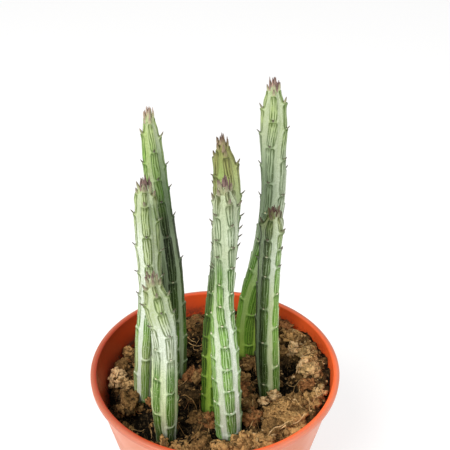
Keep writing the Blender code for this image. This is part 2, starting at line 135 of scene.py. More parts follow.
# Each stem: heights are above SOIL_LEVEL, and the first one is where the stem meets the soil.
#   line    the middle of the stem: (height, x, y)
#   girth   the radius over the ribs: (height, radius), and the last height is the stem's top
#   turn    the way that the first rib faces: (height, degrees from +X)
#   levels  where the first rib bears its leaves
#   hand    which way the leaves wind round the stem
#   leafy   the height from which the leaves are still there
#   tone    (height, groove on the left, window on the left, groove on the right, window on the
#           right, how far the windows show as drawn lines)
#   crown   the light and the dark colour of the young leaves at the tip, and how far they are raised
# The left and right colours of each tone row are partly the plant's own and partly painted shade: the side
# away from the light, or in another stem's shadow, is painted darker.
STEMS = {
    "stem_1": {
        "line": (
            (-2, -16.6, 7.2), (24, -16.4, 8.5), (48, -17.4, 9.7), (74, -20.4, 11.0),
            (91, -22.0, 11.8), (112, -23.5, 12.9),
        ),
        "girth": (
            (-2, 4.4), (10, 4.7), (30, 4.6), (57, 4.4), (83, 4.2), (91, 4.1), (99, 3.7),
            (106, 2.8), (112, 1.8),
        ),
        "turn": ((-2, -89), (30, -86), (62, -72), (98, -75), (112, -76)),
        "levels": (1, 13, 27, 45, 65, 79.5, 88.5, 99.2, 109.5, 112),
        "hand": -1,
        "leafy": 40,
        # Its right side is painted darker, in part as painted shade away from the light.
        "tone": (
            (0, MIST, MOSS, SLATE, MOSS, 0.0),
            (11, MILK, LEAF, MIST, MOSS, 0.0),
            (20, MILK, MOSS, MIST, LEAF, 0.0),
            (28, PALE, DEEP, MIST, MOSS, 0.0),
            (36, SLATE, DEEP, MIST, MOSS, 0.0),
            (60, MIST, NIGHT, MIST, NIGHT, 0.1),
            (72, PALE, MOSS, SLATE, DEEP, 0.3),
            (84, PALE, SPRING, SLATE, LEAF, 0.6),
            (98, TENDER, FRESH, MIST, SPRING, 0.7),
            (106, TENDER, SPRING, PALE, TENDER, 0.7),
            (112, PALE, TENDER, PALE, TENDER, 0.6),
        ),
        "crown": (SAND, DUSK, 0.6),
    },
    "stem_2": {
        "line": (
            (-3.5, -28.9, -3.2), (24, -26.8, -3.2), (48, -24.3, -3.2), (70, -24.2, -3.2),
            (92.5, -24.4, -3.2),
        ),
        "girth": (
            (-3.5, 4.1), (3, 4.3), (24, 4.3), (53, 4.3), (62, 4.4), (74, 4.5), (80, 4.3),
            (86, 3.7), (90, 3.5), (92.5, 3.1),
        ),
        "turn": ((-3.5, -84), (42, -88), (92.5, -92)),
        "levels": (-4, 17.4, 39.6, 51, 61.7, 74, 86.7, 91.4, 92.5),
        "hand": -1,
        "leafy": 42,
        "tone": (
            (0, FROST, SPRING, FROST, FRESH, 0.0),
            (8, FROST, SPRING, MILK, FRESH, 0.0),
            (18, FROST, TENDER, MILK, SPRING, 0.0),
            (34, FROST, FRESH, FROST, FRESH, 0.3),
            (46, FROST, PALE, MILK, SPRING, 0.8),
            (58, FROST, TENDER, MILK, TENDER, 0.9),
            (72, FROST, TENDER, PALE, TENDER, 1.0),
            (83, PALE, TENDER, MIST, SPRING, 0.9),
            (92.5, PALE, TENDER, PALE, OLIVE, 0.7),
        ),
        "crown": (DUSK, PLUM, 1.6),
    },
    "stem_3": {
        "line": (
            (-2.3, -18.9, -25.8), (15, -18.9, -26.7), (35, -18.1, -27.7), (50, -18.1, -28.4),
            (60, -19.6, -29.0), (72, -21.1, -29.6),
        ),
        "girth": (
            (-2.3, 4.0), (4, 4.6), (14, 4.9), (25, 4.8), (35, 4.5), (48, 4.4), (58, 4.6),
            (63, 4.3), (67, 3.4), (72, 2.2),
        ),
        "turn": ((-2.3, -57), (46, -57), (56, -68), (72, -74)),
        "levels": (4.5, 22.5, 38.3, 49.4, 60.1, 66.7, 70.6, 72),
        "hand": 1,
        "leafy": 48,
        "tone": (
            (0, MIST, MOSS, FROST, MOSS, 0.0),
            (11, CELERY, LEAF, CELERY, LEAF, 0.1),
            (30, CELERY, LEAF, MILK, LEAF, 0.3),
            (40, MILK, MIST, FROST, PALE, 0.8),
            (50, FROST, PALE, FROST, MILK, 1.0),
            (58, PALE, TENDER, MILK, TENDER, 1.0),
            (65, PALE, TENDER, PALE, SPRING, 0.9),
            (72, PALE, OLIVE, PALE, OLIVE, 0.7),
        ),
        "crown": (DUSK, PLUM, -0.6),
    },
    "stem_4": {
        "line": (
            (0.6, 4.9, -27.2), (21, 4.1, -28.0), (40, 3.3, -28.8), (58, 2.7, -29.5),
            (74, 3.2, -30.1), (92, 3.3, -30.8), (108, 2.8, -31.5),
        ),
        "girth": (
            (0.6, 5.0), (12, 5.1), (30, 5.0), (40, 4.8), (50, 4.3), (61, 3.8), (68, 3.5),
            (78, 3.5), (86, 3.8), (92, 4.0), (97, 3.8), (103, 3.4), (108, 2.2),
        ),
        "turn": ((0.6, -68), (20, -76), (42, -84), (52, -92), (60, -103), (72, -121), (108, -140)),
        "levels": (13.5, 25, 35.6, 45.9, 54.9, 63, 71.7, 82.8, 89.5, 98.7, 105.8, 108),
        "hand": 1,
        "leafy": 75,
        "tone": (
            (0, FROST, FRESH, FROST, LEAF, 0.2),
            (15, MILK, FRESH, FROST, LEAF, 0.3),
            (25, MILK, FRESH, FROST, FRESH, 0.4),
            (50, MILK, FRESH, FROST, FRESH, 0.4),
            (62, PALE, FRESH, MILK, LEAF, 0.4),
            (77, MIST, LEAF, MILK, LEAF, 0.6),
            (85, PALE, MIST, PALE, MIST, 1.0),
            (91, PALE, MIST, MILK, MIST, 1.0),
            (98, PALE, MIST, PALE, MIST, 1.0),
            (108, PALE, OLIVE, PALE, OLIVE, 0.7),
        ),
        "crown": (DUSK, PLUM, 1.0),
    },
    "stem_5": {
        "line": (
            (0, -1.1, -14.1), (33, -0.6, -14.1), (51.5, 0.8, -14.1), (69, 2.4, -14.1),
            (87, 3.6, -14.1), (100, 3.6, -14.1), (114, 2.2, -14.1),
        ),
        "girth": (
            (0, 4.5), (33, 4.3), (60, 4.1), (69, 4.1), (77, 4.4), (86, 4.6), (94, 4.7),
            (100, 4.5), (105, 4.0), (110, 3.0), (114, 1.8),
        ),
        "turn": ((0, -79), (54, -70), (114, -73)),
        "levels": (3.9, 13.8, 23.6, 33, 42.6, 52.5, 62.5, 73, 82, 90, 99, 110.5, 114),
        "hand": 1,
        "leafy": 66,
        "tone": (
            (0, LEEK, LEAF, LEEK, LEAF, 0.0),
            (30, LEEK, MOSS, LEEK, DEEP, 0.0),
            (45, LEAF, MOSS, MIST, MOSS, 0.0),
            (60, MIST, MOSS, MIST, MOSS, 0.1),
            (75, MILK, SLATE, MILK, SLATE, 0.8),
            (90, MIST, OLIVE, MIST, SPRING, 0.8),
            (104, SPRING, OLIVE, LIME, OLIVE, 0.7),
            (114, OLIVE, OLIVE, OLIVE, OLIVE, 0.6),
        ),
        "crown": (SAND, BARK, 0.9),
    },
    "stem_6": {
        "line": (
            (1.6, 13.4, 18.2), (16, 14.0, 19.0), (31, 15.7, 19.7), (45, 18.6, 20.4),
            (60, 21.1, 21.2), (75, 22.4, 21.9), (97, 21.8, 23.0), (118, 21.1, 24.1),
        ),
        "girth": (
            (1.6, 4.9), (10, 5.2), (24, 5.2), (38, 4.8), (55, 4.6), (80, 4.7), (92, 4.8),
            (100, 5.0), (106, 4.8), (111, 4.0), (115, 3.5), (118, 2.8),
        ),
        "turn": ((1.6, -154), (22, -159), (80, -119), (96, -111), (105, -98), (118, -94)),
        "levels": (13.1, 28.5, 42, 55.4, 68.5, 81.7, 96.5, 106.5, 115.7, 118),
        "hand": 1,
        "leafy": 66,
        "tone": (
            (0, LEEK, FRESH, LEEK, LEAF, 0.0),
            (20, SPRING, FRESH, LEEK, MOSS, 0.0),
            (34, SPRING, LEAF, FRESH, MOSS, 0.1),
            (50, MIST, LEAF, PALE, LEAF, 0.3),
            (62, SLATE, SLATE, MILK, SLATE, 0.6),
            (82, SLATE, SLATE, MILK, MIST, 0.9),
            (93, MIST, MIST, PALE, MIST, 0.9),
            (99, PALE, MIST, PALE, SPRING, 0.9),
            (106, PALE, TENDER, PALE, SPRING, 0.9),
            (118, PALE, TENDER, PALE, SPRING, 0.7),
        ),
        "crown": (BLUSH, PLUM, 1.6),
    },
    "stem_7": {
        "line": (
            (2.6, 21.6, -7.5), (17, 20.6, -7.5), (30, 19.9, -7.5), (51, 19.6, -7.5),
            (71, 19.9, -7.5), (84.5, 20.4, -7.5),
        ),
        "girth": (
            (2.6, 4.2), (9, 4.5), (18, 4.6), (27, 4.5), (40, 4.3), (58, 4.1), (76, 3.9),
            (80.5, 3.6), (84.5, 2.3),
        ),
        "turn": ((2.6, -120), (40, -115), (84.5, -114)),
        "levels": (8.2, 29.3, 45.2, 59.6, 68, 74.9, 82.6, 84.5),
        "hand": -1,
        "leafy": 60,
        # Its dark left side is painted shadow cast by the stems to its left.
        "tone": (
            (0, MIST, MOSS, CELERY, LEAF, 0.0),
            (16, SLATE, NIGHT, CELERY, LEAF, 0.0),
            (34, SLATE, NIGHT, CELERY, FRESH, 0.0),
            (48, SLATE, DEEP, CELERY, FRESH, 0.1),
            (64, MIST, DEEP, FROST, FRESH, 0.4),
            (76, MIST, DEEP, MILK, SPRING, 0.5),
            (84.5, OLIVE, MOSS, PALE, OLIVE, 0.5),
        ),
        "crown": (PLUM, BARK, 0.0),
    },
}

# Colours of the potting mix
HUMUS = linear(30, 23, 13)
PEAT = linear(74, 56, 32)
UMBER = linear(122, 92, 55)
OCHRE = linear(164, 127, 80)
STRAW = linear(198, 162, 112)
CHIP = linear(222, 186, 138)
RUST = linear(134, 90, 54)

# Lumps of the soil's surface: x, y, half width, height, colour
LUMPS = (
    (-40.5, 5.0, 4.4, 3.4, CHIP),
    (-36.0, 2.0, 2.6, 1.8, STRAW),
    (-39.5, 12.5, 3.4, 2.2, UMBER),
    (-37.0, 21.0, 3.8, 2.0, OCHRE),
    (-32.0, 30.0, 3.6, 1.6, UMBER),
    (-35.0, -10.0, 5.4, 3.2, UMBER),
    (-25.5, -9.5, 1.8, 1.6, RUST),
    (-18.8, -32.8, 1.6, 2.2, OCHRE),
    (-9.0, 4.5, 4.4, 2.6, RUST),
    (-8.5, -8.5, 3.6, 1.8, PEAT),
    (-7.0, -20.5, 3.6, 2.4, UMBER),
    (-2.5, -22.0, 3.4, 2.6, RUST),
    (-12.0, -36.0, 4.6, 2.2, OCHRE),
    (-5.0, -35.0, 4.8, 2.4, UMBER),
    (3.0, -38.5, 4.6, 2.4, OCHRE),
    (10.5, -35.0, 4.6, 2.6, OCHRE),
    (14.0, -23.0, 4.0, 2.8, RUST),
    (14.0, -14.5, 3.2, 2.2, UMBER),
    (12.5, -8.0, 3.2, 2.2, RUST),
    (11.8, -1.0, 2.4, 1.8, OCHRE),
    (15.5, 8.5, 3.8, 1.8, UMBER),
    (18.8, -14.8, 1.9, 1.7, CHIP),
    (23.4, -12.6, 1.5, 1.4, OCHRE),
    (24.0, -21.0, 5.8, 2.8, OCHRE),
    (31.0, -18.0, 5.8, 2.8, UMBER),
    (30.0, -27.0, 6.2, 3.0, OCHRE),
    (22.0, -30.0, 5.6, 2.8, UMBER),
    (18.0, -37.0, 4.4, 2.2, OCHRE),
    (37.5, -18.0, 4.6, 2.4, OCHRE),
    (41.0, -13.0, 2.6, 1.4, STRAW),
    (36.5, -8.0, 3.4, 2.0, RUST),
    (38.8, 0.0, 4.8, 2.6, STRAW),
    (36.0, 3.5, 3.2, 2.4, CHIP),
    (38.5, 9.0, 4.2, 2.6, STRAW),
    (34.0, 13.5, 3.2, 2.0, CHIP),
    (39.0, 13.0, 3.0, 1.5, OCHRE),
    (33.5, 21.5, 4.2, 2.4, OCHRE),
    (30.0, 28.0, 4.0, 2.0, RUST),
    (27.0, 13.5, 2.4, 1.6, UMBER),
    (-8.5, 37.0, 5.0, 2.2, UMBER),
    (-2.0, 30.0, 3.6, 1.6, PEAT),
    (5.0, 38.0, 4.4, 1.8, UMBER),
)

# Dark hollows between the lumps: x, y, half width, depth
HOLLOWS = (
    (-29.5, -17.5, 6.5, 5.0),
    (-25.0, -25.0, 5.0, 4.0),
    (-43.0, -4.0, 3.6, 3.5),
    (-12.0, -14.0, 3.6, 4.5),
    (-12.5, -25.0, 3.4, 4.5),
    (-11.5, 14.0, 4.6, 4.5),
    (-10.0, 25.0, 5.0, 3.0),
    (8.5, 15.0, 4.0, 4.0),
    (14.5, 3.0, 3.2, 3.5),
    (27.0, -7.5, 5.0, 6.0),
    (30.0, 3.0, 3.6, 4.5),
    (16.5, -18.5, 2.6, 4.0),
    (18.0, -26.5, 2.0, 3.5),
    (30.5, 17.0, 2.6, 3.0),
    (36.0, -34.0, 2.6, 3.0),
    (8.5, -14.0, 2.6, 3.5),
)

# Pale straws that lie on the soil: x, y, heading in radians, length, half thickness
STRAWS = (
    (19.5, -34.0, 0.55, 9.0, 0.22),
    (24.0, -32.5, 0.1, 12.0, 0.2),
    (17.0, -33.0, -0.5, 5.0, 0.18),
    (39.5, -11.0, -1.9, 8.0, 0.16),
    (37.5, -20.0, 0.9, 7.0, 0.14),
    (-30.5, -25.5, -1.1, 7.0, 0.14),
)


def linked(name, data):
    obj = bpy.data.objects.new(name, data)
    bpy.context.scene.collection.objects.link(obj)
    return obj


def write_mesh(name, verts, faces):
    """A smooth linked object from points in millimetres."""
    mesh = bpy.data.meshes.new(name)
    mesh.from_pydata([tuple(v) for v in np.asarray(verts, float) * MM], [], faces)
    mesh.update()
    mesh.shade_smooth()
    return linked(name, mesh)


def from_bmesh(name, bm):
    mesh = bpy.data.meshes.new(name)
    bm.to_mesh(mesh)
    bm.free()
    return linked(name, mesh)


def colour_layer(obj, name, colours):
    layer = obj.data.attributes.new(name, "FLOAT_COLOR", "POINT")
    rows = np.ones((len(obj.data.vertices), 4), np.float32)
    rows[:, :3] = colours
    layer.data.foreach_set("color", rows.ravel())


def number_layer(obj, name, values):
    layer = obj.data.attributes.new(name, "FLOAT", "POINT")
    layer.data.foreach_set("value", np.asarray(values, np.float32))


def through(points, at):
    """A smooth curve through rows of (place, value, ...), read at an array of places."""
    rows = np.array(points, float)
    place, value = rows[:, 0], rows[:, 1:]
    at = np.clip(np.asarray(at, float), place[0], place[-1])
    k = np.clip(np.searchsorted(place, at, side="right") - 1, 0, len(place) - 2)
    slope = np.empty_like(value)
    slope[1:-1] = (value[2:] - value[:-2]) / (place[2:] - place[:-2])[:, None]
    slope[0] = (value[1] - value[0]) / (place[1] - place[0])
    slope[-1] = (value[-1] - value[-2]) / (place[-1] - place[-2])
    span = (place[k + 1] - place[k])[..., None]
    t = (at - place[k])[..., None] / span
    a, b = value[k], value[k + 1]
    ease = t * t * (3 - 2 * t)
    return a + (b - a) * ease + slope[k] * span * t * (1 - t) ** 2 - slope[k + 1] * span * t * t * (1 - t)


def step_between(low, high, x):
    t = np.clip((x - low) / (high - low), 0, 1)
    return t * t * (3 - 2 * t)


def lumpy(points, size, seed=0.0):
    """Smooth noise from -1 to 1 at each point, with features of about the given size."""
    shift = Vector((seed * 7.31, seed * 3.17, seed * 5.93))
    return np.array([noise.noise(Vector(p) / size + shift) for p in points])


def ring_faces(rings, sides, inward=False, capped=True):
    """Faces between rings of points, and out to the two points after them that close the ends."""
    grid = np.arange(rings * sides).reshape(rings, sides)
    right = np.roll(grid, -1, axis=1)
    faces = np.stack([grid[:-1], right[:-1], right[1:], grid[1:]], axis=-1).reshape(-1, 4).tolist()
    if capped:
        faces += [(rings * sides, b, a) for a, b in zip(grid[0].tolist(), right[0].tolist())]
        faces += [(rings * sides + 1, a, b) for a, b in zip(grid[-1].tolist(), right[-1].tolist())]
    return [(f[0], *f[:0:-1]) for f in faces] if inward else faces


def circle(centre, side, over, sides):
    """Points round a centre, through the ends of two half axes."""
    turns = [math.tau * k / sides for k in range(sides)]
    return [centre + math.cos(a) * side + math.sin(a) * over for a in turns]


class Graph:
    """A material whose nodes are made one expression at a time."""

    def __init__(self, name, roughness=0.5):
        self.material = bpy.data.materials.new(name)
        self.material.use_nodes = True
        self.tree = self.material.node_tree
        self.shader = self.tree.nodes["Principled BSDF"]
        self.shader.inputs["Roughness"].default_value = roughness

    def node(self, kind, inputs=(), output=0, **settings):
        """A new node with its inputs filled in, as the output that is asked for."""
        made = self.tree.nodes.new("ShaderNode" + kind)
        for key, value in settings.items():
            setattr(made, key, value)
        for key, value in dict(inputs).items():
            self.put(made.inputs[key], value)
        return made.outputs[output]

    def put(self, socket, value):
        if isinstance(value, bpy.types.NodeSocket):
            self.tree.links.new(value, socket)
        elif hasattr(value, "__len__") and socket.type == "RGBA":
            socket.default_value = (*value[:3], 1.0)
        else:
            socket.default_value = value

    def math(self, operation, a, b=0.0):
        return self.node("Math", {0: a, 1: b}, operation=operation)

    def add(self, a, b):
        return self.math("ADD", a, b)

    def sub(self, a, b):
        return self.math("SUBTRACT", a, b)

    def mul(self, a, b):
        return self.math("MULTIPLY", a, b)

    def ease(self, value, low, high, out_low=0.0, out_high=1.0):
        ends = {"From Min": low, "From Max": high, "To Min": out_low, "To Max": out_high}
        return self.node("MapRange", {"Value": value, **ends}, "Result", interpolation_type="SMOOTHSTEP")

    def mix(self, share, a, b, blend="MIX"):
        return self.node("Mix", {0: share, 6: a, 7: b}, 2, data_type="RGBA", blend_type=blend)

    def layer(self, name, output="Color"):
        return self.node("Attribute", output=output, attribute_name=name)

    def split(self, vector):
        return self.node("SeparateXYZ", {0: vector}).node.outputs

    def join(self, x, y, z):
        return self.node("CombineXYZ", {0: x, 1: y, 2: z})

    def place(self, stretch=(1.0, 1.0, 1.0)):
        """The point on the object, in millimetres, squeezed along each axis."""
        spot = self.node("TexCoord", output="Object")
        return self.node("Mapping", {"Vector": spot, "Scale": [s / MM for s in stretch]})

    def noise(self, where, size, detail=2.0, rough=0.5):
        inputs = {"Vector": where, "Scale": 1.0 / size, "Detail": detail, "Roughness": rough}
        return self.node("TexNoise", inputs)

    def bump(self, height, distance, strength=1.0):
        inputs = {"Height": height, "Distance": distance * MM, "Strength": strength}
        self.put(self.shader.inputs["Normal"], self.node("Bump", inputs))

    def set(self, **settings):
        """The shader's constant sockets."""
        for key, value in settings.items():
            self.shader.inputs[key.replace("_", " ")].default_value = value

    def finish(self, colour, roughness=None):
        self.put(self.shader.inputs["Base Color"], colour)
        if roughness is not None:
            self.put(self.shader.inputs["Roughness"], roughness)
        return self.material


def stem_finish():
    """Pale bloomed skin with a green window under each leaf, drawn with fine lines along the rib, and painted
    shadow at each window's head under the leaf above.
    """
    g = Graph("stem_skin", 0.55)
    across, up, down = g.split(g.layer("rib", "Vector"))
    window = g.layer("window", "Fac")
    lined = g.layer("lined", "Fac")
    skin, patch = g.layer("skin"), g.layer("patch")
    where = g.place()
    _, _, height = g.split(where)
    each = g.sub(height, up)
    wander = g.sub(g.noise(g.join(across, g.mul(up, 0.3), each), 2.4, 2.0), 0.5)
    shifted = g.add(across, g.mul(wander, 0.9))
    side = g.math("DIVIDE", g.math("ABSOLUTE", shifted), window)
    low = g.math("DIVIDE", g.math("MAXIMUM", g.sub(WINDOW_FOOT, up), 0.0), WINDOW_FOOT_ROUND)
    high = g.math("DIVIDE", g.math("MAXIMUM", g.sub(WINDOW_HEAD, down), 0.0), WINDOW_HEAD_ROUND)
    end = g.math("MAXIMUM", low, high)
    edge = g.add(g.math("POWER", side, WINDOW_ROUND), g.math("POWER", end, WINDOW_ROUND))
    edge = g.math("POWER", edge, 1 / WINDOW_ROUND)
    inside = g.ease(edge, 1.07, 0.93)
    ragged = g.noise(g.join(g.mul(across, 0.7), g.mul(up, 0.25), each), 1.1, 2.0)
    broken = g.ease(ragged, 0.35, 0.6, 0.3, 1.0)
    rim = g.mul(broken, g.mul(g.ease(edge, 0.8, 0.93), g.ease(edge, 1.22, 1.08)))
    # Painted shadow: the window's outline is darker along its head, under the leaf above.
    painted_arch_shadow = g.mul(rim, g.ease(down, 2.2, 1.0))

    dark = g.mix(1.0, patch, (0.23, 0.28, 0.15), "MULTIPLY")
    light = g.mix(0.68, patch, skin)
    phase = g.mul(g.noise(g.join(g.mul(across, 0.6), g.mul(up, 0.09), each), 1.0, 1.0), 9.0)
    thread = g.math("SINE", g.add(g.mul(shifted, math.tau / THREAD), phase))
    strength = g.noise(g.join(g.mul(across, 0.9), g.mul(up, 0.3), g.add(each, 40.0)), 1.0, 2.0)
    dark_line = g.mul(g.ease(thread, -0.15, 0.5), g.ease(strength, 0.34, 0.5, 0.25, 1.0))
    light_line = g.mul(g.ease(thread, -0.3, -0.85), g.ease(strength, 0.36, 0.52, 0.4, 1.0))
    field = g.mix(g.mul(lined, 0.35), patch, light)
    field = g.mix(g.mul(light_line, g.add(0.5, g.mul(lined, 0.35))), field, light)
    field = g.mix(g.mul(dark_line, g.add(0.55, g.mul(lined, 0.3))), field, dark)
    # Painted shadow under the leaf above: the window darkens towards its head.
    field = g.mix(g.ease(down, 2.6, 0.6, 0.0, 0.45), field, dark)

    fine = g.noise(g.place((1.0, 1.0, 0.55)), 0.36, 2.0, 0.6)
    grain = g.noise(g.join(g.mul(across, 1.8), g.mul(up, 0.09), each), 0.8, 2.0)
    dots = g.noise(g.place((1.0, 1.0, 0.8)), 0.55, 1.0, 0.5)
    field = g.mix(g.ease(dots, 0.64, 0.74, 0.0, 0.6), field, skin)
    shade = g.mix(g.add(0.42, g.mul(lined, 0.2)), skin, g.mix(0.25, patch, dark))
    bloom = g.mix(g.mul(g.ease(fine, 0.47, 0.62), g.add(0.4, g.mul(lined, 0.4))), skin, shade)
    bloom = g.mix(g.ease(grain, 0.5, 0.62, 0.0, 0.55), bloom, shade)
    between = g.mul(g.ease(side, 1.05, 0.75), g.sub(1.0, inside))
    bloom = g.mix(g.mul(between, 0.5), bloom, patch)
    surface = g.mix(inside, bloom, field)
    surface = g.mix(g.mul(rim, g.add(0.15, g.mul(lined, 0.62))), surface, dark)
    surface = g.mix(g.mul(painted_arch_shadow, 0.5), surface, dark)

    middle = g.math("ABSOLUTE", across)
    scar = g.mul(g.ease(middle, 0.75, 0.3), g.mul(g.ease(down, 0.6, 0.25), g.ease(up, 0.5, 0.2)))
    surface = g.mix(g.mul(scar, 0.5), surface, CREAM)
    mark = g.mul(g.ease(middle, 0.55, 0.2), g.ease(g.math("ABSOLUTE", g.sub(up, 0.45)), 0.4, 0.15))
    surface = g.mix(g.mul(mark, 0.6), surface, BARK)

    relief = g.add(g.mul(dark_line, g.mul(inside, -0.6)), g.mul(fine, 0.6))
    relief = g.sub(relief, g.mul(rim, 0.3))
    g.bump(relief, 0.14, 0.9)
    g.set(Specular_IOR_Level=0.25)
    return g.finish(surface, g.ease(fine, 0.3, 0.7, 0.45, 0.65))


class Stem:
    """One stem: a middle line, and five ribs that swell under each leaf."""

    def __init__(self, name, spec):
        self.name = name
        self.spec = spec
        self.foot = spec["line"][0][0]
        self.top = spec["girth"][-1][0]
        self.levels = list(enumerate(spec["levels"]))
        self.count = (len(self.levels) - 1) * RIBS
        self.rng = random.Random(name)

    def level(self, n):
        if n < 0:
            first, second = self.levels[0][1], self.levels[1][1]
            return first + n / RIBS * (second - first)
        return float(through(self.levels, n / RIBS)[..., 0])

    def rib_levels(self, rib):
        """Heights of a rib's leaves, from under the soil to past the tip."""
        first = (3 * self.spec["hand"] * rib) % RIBS
        heights = [self.level(n) for n in range(first - 4 * RIBS, self.count + 1, RIBS)]
        return np.array(heights + [self.top + 3.0])

    def middle(self, h):
        h = np.asarray(h, float)
        flat = through(self.spec["line"], h)
        return np.concatenate([flat, (SOIL_LEVEL + h)[..., None]], axis=-1)

    def axes(self, h):
        along = self.middle(np.asarray(h, float) + 0.5) - self.middle(np.asarray(h, float) - 0.5)
        along /= np.linalg.norm(along, axis=-1, keepdims=True)
        side = np.array([1.0, 0.0, 0.0]) - along * along[..., :1]
        side /= np.linalg.norm(side, axis=-1, keepdims=True)
        return along, side, np.cross(along, side)

    def turn(self, h):
        return np.radians(through(self.spec["turn"], h)[..., 0])

    def radius(self, h):
        """The radius over the ribs, drawn in towards the tip."""
        close = step_between(self.top - 6.0, self.top, np.asarray(h, float))
        return through(self.spec["girth"], h)[..., 0] * (1 - 0.42 * close)

    def body(self):
        """Rings up the stem; each face knows where it lies on its rib, between two leaves."""
        buried = [self.foot + h for h, _ in BURIED_END]
        rise = list(np.arange(self.foot - 1.6, self.top, RING_STEP)) + [self.top]
        heights = np.array(buried + rise)
        h = heights[:, None]
        column = np.arange(RIBS * RIB_COLUMNS)
        off = column / RIB_COLUMNS - 0.5 - column // RIB_COLUMNS
        radius = self.radius(h)
        radius[: len(buried), 0] = [r for _, r in BURIED_END]
        pitch = math.tau * radius / RIBS
        low, high = self.leaf_levels(heights)
        up, down = h - low, high - h
        across = off * pitch
        _, _, drawn = self.tones(heights, np.zeros(len(heights)))
        window = (0.325 - 0.06 * drawn[:, None]) * pitch

        slim = np.maximum(radius / 4.5, 0.6)
        ridge = np.cos(math.pi * off) ** 0.8
        swell = (up / (high - low)) ** 2 * np.exp(-((across / (0.36 * pitch)) ** 2))
        podium = np.exp(-((across / 0.9) ** 2) - ((down - 0.3) / 0.65) ** 2)
        end = np.maximum(
            np.maximum(WINDOW_FOOT - up, 0) / WINDOW_FOOT_ROUND,
            np.maximum(WINDOW_HEAD - down, 0) / WINDOW_HEAD_ROUND,
        )
        edge = (np.abs(across) / window) ** WINDOW_ROUND + end ** WINDOW_ROUND
        plateau = step_between(1.25, 0.8, edge ** (1 / WINDOW_ROUND))
        tip = step_between(self.top - 1.5, self.top, h)
        young = step_between(self.top - 13.0, self.top - 3.0, h)
        relief = slim * ((0.4 + 1.3 * young) * swell + 0.2 * podium + 0.07 * plateau) * (1 - tip)
        relief -= 0.115 * (1 - ridge) * radius
        relief[: len(buried)] = 0

        angle = self.turn(h) + math.tau * (column / RIB_COLUMNS - 0.5) / RIBS
        _, side, over = self.axes(heights)
        outward = np.cos(angle)[..., None] * side[:, None] + np.sin(angle)[..., None] * over[:, None]
        verts = (self.middle(heights)[:, None] + (radius + relief)[..., None] * outward).reshape(-1, 3)
        rough = lumpy(verts, 3.2, 1.0) * 0.09 + lumpy(verts, 1.1, 2.0) * 0.04
        verts = verts + outward.reshape(-1, 3) * rough[:, None]
        ends = [self.middle(heights[0]), self.middle(self.top) + np.array([0, 0, 1.0])]

        faces = ring_faces(len(heights), len(column))
        rib = np.full((sum(len(f) for f in faces), 3), OFF_RIB)
        corners = self.corners(heights, off, pitch)
        rib[: len(corners)] = corners
        where = np.append(np.repeat(heights, len(column)), [heights[0], self.top])
        skin, patch, lined = self.tones(where, np.append(np.cos(angle), [0, 0]))
        # The skin darkens towards the soil at the foot of the stem.
        darker_near_soil = 0.4 * step_between(self.foot + 1.2, self.foot - 1.0, where)[:, None]
        darker_near_soil[-2:] = 0
        skin = skin * (1 - darker_near_soil) + PEAT * darker_near_soil
        window = np.append(np.repeat(window, len(column)), [1.0, 1.0])
        return np.concatenate([verts, ends]), faces, rib, skin, patch, lined, window

    def leaf_levels(self, heights):
        """For each height and column, the heights of the leaves below and above on its rib."""
        low = np.zeros((len(heights), RIBS, RIB_COLUMNS))
        high = np.zeros_like(low)
        for j in range(RIBS):
            levels = self.rib_levels(j)
            k = np.clip(np.searchsorted(levels, heights, side="right") - 1, 0, len(levels) - 2)
            low[:, j] = levels[k][:, None]
            high[:, j] = levels[k + 1][:, None]
        return low.reshape(len(heights), -1), high.reshape(len(heights), -1)

    def corners(self, heights, off, pitch):
        """For each face's corners: how far across its rib, above the lower leaf, below the upper."""
        low, high = self.leaf_levels((heights[:-1] + heights[1:]) / 2)
        out = np.zeros((*low.shape, 4, 3))
        for corner, (ring, step) in enumerate(((0, 0), (0, 1), (1, 1), (1, 0))):
            rows = slice(ring, ring + len(low))
            h = heights[rows, None]
            out[:, :, corner, 0] = (off + step / RIB_COLUMNS) * pitch[rows]
            out[:, :, corner, 1] = h - low
            out[:, :, corner, 2] = high - h
        return out.reshape(-1, 3)

    def tones(self, h, facing):
        """Groove colour, window colour and line strength at a height, from the left to the right; the
        difference between the sides is partly painted shade.
        """
        rows = self.spec["tone"]
        place = np.array([row[0] for row in rows], float)
        colours = np.array([[*row[1], *row[2], *row[3], *row[4], row[5]] for row in rows])
        values = np.stack([np.interp(h, place, colours[:, c]) for c in range(13)], axis=-1)
        share = step_between(-0.75, 0.75, facing)[:, None]
        skin = values[:, 0:3] * (1 - share) + values[:, 6:9] * share
        patch = values[:, 3:6] * (1 - share) + values[:, 9:12] * share
        return skin, patch, values[:, 12]

    def leaves(self):
        """Curved awls: small and spreading up the stem, larger and upright at its tip."""
        out = []
        crown_light, crown_dark, _ = self.spec["crown"]
        grey = 0.5 * PLUM + 0.5 * SLATE
        for n in range(self.count + 1):
            h = self.level(n)
            if h < self.foot + 2:
                continue
            angle = float(self.turn(h)) + self.spec["hand"] * SPIRAL * n
            along, side, across = self.axes(h)
            away = math.cos(angle) * side + math.sin(angle) * across
            root = self.middle(h) + self.radius(h) * away
            skin, patch, _ = self.tones(np.array([h]), np.array([math.cos(angle)]))
            if h < self.spec["leafy"] or (h < self.spec["leafy"] + 12 and self.rng.random() < 0.25):
                out.append(scar(root, away, along, 0.5 * CREAM + 0.5 * skin[0], self.rng))
                continue
            young = float(step_between(self.top - 12.0, self.top - 2.0, h))
            rise = math.radians(34 + 44 * young + self.rng.uniform(-9, 9) * (1 - 0.7 * young))
            bend = math.radians(22 * (1 - young) + self.rng.uniform(-4, 6))
            reach = 2.3 + 1.6 * young + self.rng.uniform(-0.3, 0.3)
            wide = 0.34 + 0.42 * young
            flesh = 0.45 * skin[0] + 0.55 * patch[0]
            base = skin[0] * (1 - young) + flesh * young
            middle = grey * (1 - young) + (0.7 * flesh + 0.3 * crown_light) * young
            end = BARK * (1 - young) + crown_dark * young
            start = root - along * 1.3 * young
            out.append(awl(start, away, along, rise, bend, reach, wide, (base, middle, end)))
        return out

